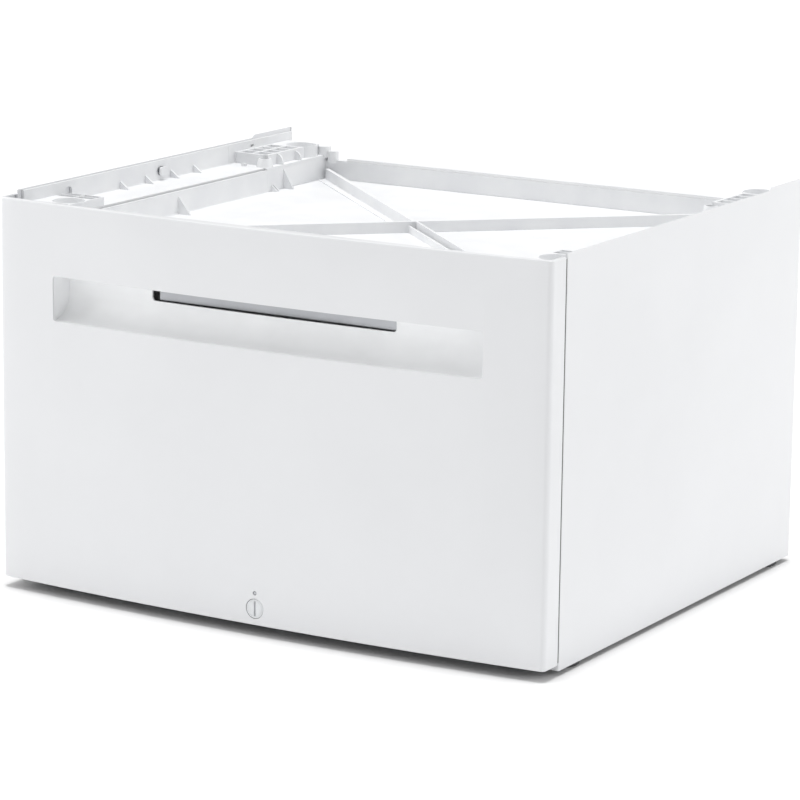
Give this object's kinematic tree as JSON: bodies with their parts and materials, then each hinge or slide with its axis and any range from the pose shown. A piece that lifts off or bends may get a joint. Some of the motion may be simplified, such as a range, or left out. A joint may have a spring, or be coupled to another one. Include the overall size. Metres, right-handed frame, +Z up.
{
  "type": "laundry appliance pedestal with drawer",
  "caption": "Low steel plinth with a full-width storage drawer, finger recess, coin lock and levelling feet, that a front-loading washer stands on.",
  "frame": {"origin": "on the floor, below the middle of the body's box", "axes": "+X to the right as seen from the front, +Y to the rear, +Z up; the drawer opens towards -Y"},
  "size_m": [0.6, 0.528, 0.39],
  "materials": {
    "painted_sheet": "white powder-coated sheet steel, semi-gloss",
    "galvanised_steel": "zinc-coated rolled steel, satin with fine rolling lines",
    "zinc_screw": "bright zinc-plated screw",
    "white_moulding": "injection-moulded polypropylene, fine satin grain",
    "grey_moulding": "light grey moulded ABS, satin",
    "spring_steel": "drawn spring steel wire and rod",
    "dark_plastic": "glass-filled nylon, dark grey",
    "rubber": "soft black rubber",
    "lock_zinc": "die-cast zinc, painted light grey"
  },
  "bodies": {
    "cabinet": {"side_panel_left": "painted_sheet", "side_panel_right": "painted_sheet", "rear_panel": "painted_sheet", "base_rail_left": "galvanised_steel", "base_rail_right": "galvanised_steel", "base_rail_front": "galvanised_steel", "base_rail_rear": "galvanised_steel", "cross_bar_front": "galvanised_steel", "cross_bar_rear": "galvanised_steel", "latch_strike": "galvanised_steel", "lock_keeper": "galvanised_steel", "post_front_left": "galvanised_steel", "post_front_right": "galvanised_steel", "post_rear_left": "galvanised_steel", "post_rear_right": "galvanised_steel", "slide_outer_left": "galvanised_steel", "slide_outer_right": "galvanised_steel", "foot_nut_front_left": "galvanised_steel", "foot_nut_front_right": "galvanised_steel", "foot_nut_rear_left": "galvanised_steel", "foot_nut_rear_right": "galvanised_steel", "side_screw_left": "zinc_screw", "side_screw_right": "zinc_screw", "rear_screw_left_lower": "zinc_screw", "rear_screw_left_upper": "zinc_screw", "rear_screw_right_lower": "zinc_screw", "rear_screw_right_upper": "zinc_screw", "tray": "white_moulding", "top_shelf_left": "white_moulding", "top_shelf_right": "white_moulding", "top_frame_rear": "white_moulding", "bumper_left_lower": "rubber", "bumper_left_upper": "rubber", "bumper_right_lower": "rubber", "bumper_right_upper": "rubber"},
    "drawer": {"drawer_front_skin": "painted_sheet", "drawer_inner_front": "painted_sheet", "handle_recess": "white_moulding", "front_stiffener": "galvanised_steel", "release_rod": "spring_steel", "release_spring_left": "spring_steel", "release_spring_right": "spring_steel", "drawer_side_left": "painted_sheet", "drawer_side_right": "painted_sheet", "drawer_back": "painted_sheet", "drawer_floor": "painted_sheet", "slide_inner_left": "galvanised_steel", "slide_inner_right": "galvanised_steel", "lock_housing": "dark_plastic"},
    "slide_middle_left": {"slide_middle_left": "galvanised_steel"},
    "slide_middle_right": {"slide_middle_right": "galvanised_steel"},
    "release": {"release_bar": "grey_moulding"},
    "lock": {"lock_barrel": "lock_zinc", "lock_cam": "galvanised_steel"},
    "foot_front_left": {"foot_front_left": "dark_plastic"},
    "foot_front_right": {"foot_front_right": "dark_plastic"},
    "foot_rear_left": {"foot_rear_left": "dark_plastic"},
    "foot_rear_right": {"foot_rear_right": "dark_plastic"}
  },
  "joints": [
    {"name": "drawer_slide", "type": "slide", "parent": "cabinet", "child": "drawer", "axis": [0, -1, 0], "range_m": [0, 0.4]},
    {"name": "slide_middle_left_run", "type": "slide", "parent": "cabinet", "child": "slide_middle_left", "axis": [0, -1, 0], "range_m": [0, 0.2]},
    {"name": "slide_middle_right_run", "type": "slide", "parent": "cabinet", "child": "slide_middle_right", "axis": [0, -1, 0], "range_m": [0, 0.2]},
    {"name": "release_tilt", "type": "hinge", "parent": "drawer", "child": "release", "pos_m": [0, -0.22506, 0.318], "axis": [1, 0, 0], "range_deg": [0, 12], "stiffness_Nm_per_rad": 0.25, "springref_deg": -20.05},
    {"name": "lock_turn", "type": "hinge", "parent": "drawer", "child": "lock", "pos_m": [0, -0.2638, 0.0263], "axis": [0, 1, 0], "range_deg": [0, 90]},
    {"name": "foot_front_left_turn", "type": "hinge", "parent": "cabinet", "child": "foot_front_left", "pos_m": [-0.2787, -0.184, 0], "axis": [0, 0, 1], "continuous": true},
    {"name": "foot_front_right_turn", "type": "hinge", "parent": "cabinet", "child": "foot_front_right", "pos_m": [0.2787, -0.184, 0], "axis": [0, 0, 1], "continuous": true},
    {"name": "foot_rear_left_turn", "type": "hinge", "parent": "cabinet", "child": "foot_rear_left", "pos_m": [-0.2787, 0.235, 0], "axis": [0, 0, 1], "continuous": true},
    {"name": "foot_rear_right_turn", "type": "hinge", "parent": "cabinet", "child": "foot_rear_right", "pos_m": [0.2787, 0.235, 0], "axis": [0, 0, 1], "continuous": true}
  ],
  "couplings": [
    {"joint": "slide_middle_left_run", "follows": "drawer_slide", "ratio": 0.5},
    {"joint": "slide_middle_right_run", "follows": "drawer_slide", "ratio": 0.5}
  ]
}
